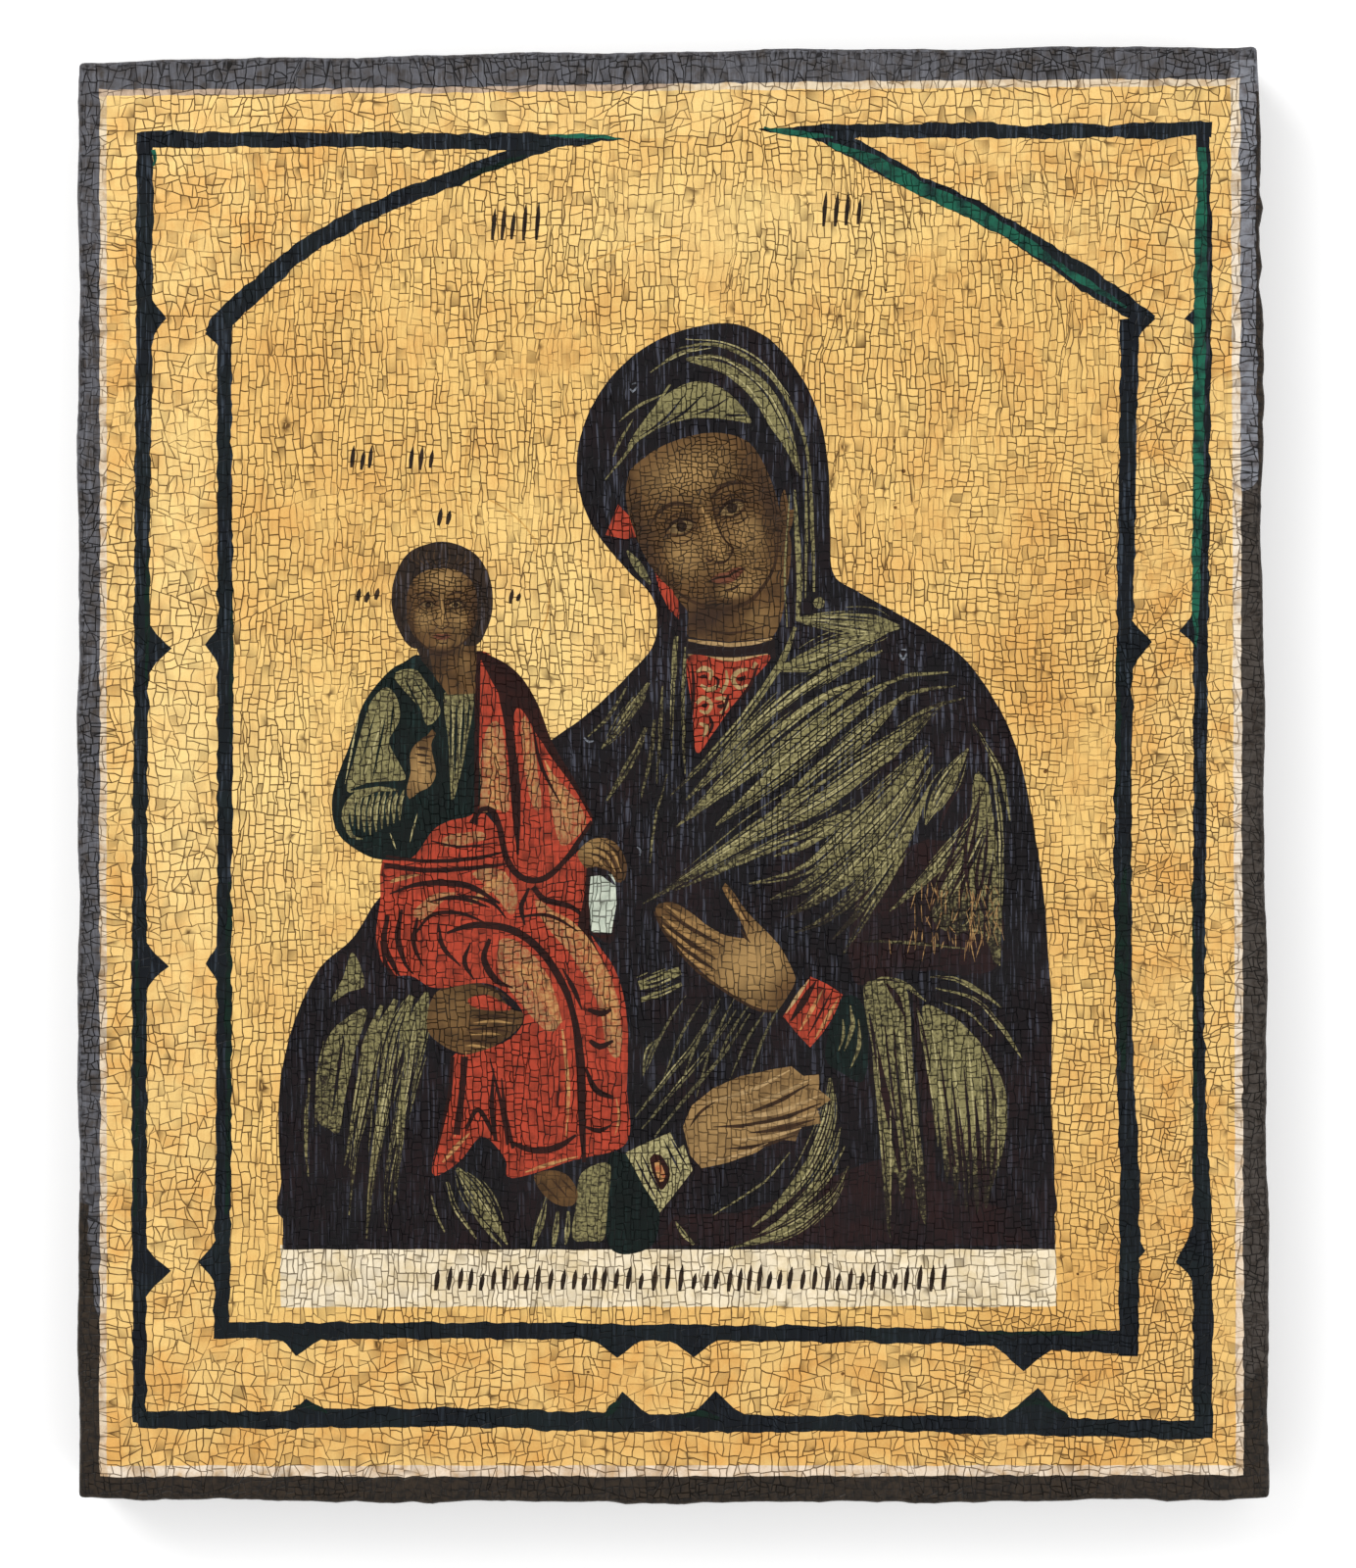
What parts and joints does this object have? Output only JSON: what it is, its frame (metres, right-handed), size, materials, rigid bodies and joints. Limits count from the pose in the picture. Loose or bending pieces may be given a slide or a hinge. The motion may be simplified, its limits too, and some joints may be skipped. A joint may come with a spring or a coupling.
{
  "type": "icon panel",
  "caption": "Old wooden painted devotional panel with a gilded ground, crackled paint and a dark worn edge, lying on its flat back.",
  "frame": {"origin": "middle of the flat back, on the surface that the panel lies on", "axes": "+Z out of the painted face, +Y to the head of the picture, +X to its right"},
  "size_m": [0.2558, 0.3128, 0.0223],
  "materials": {
    "painted_board": "aged tempera and gilding under varnish, with fine craquelure"
  },
  "bodies": {
    "root": {"icon_panel": "painted_board"}
  },
  "joints": []
}
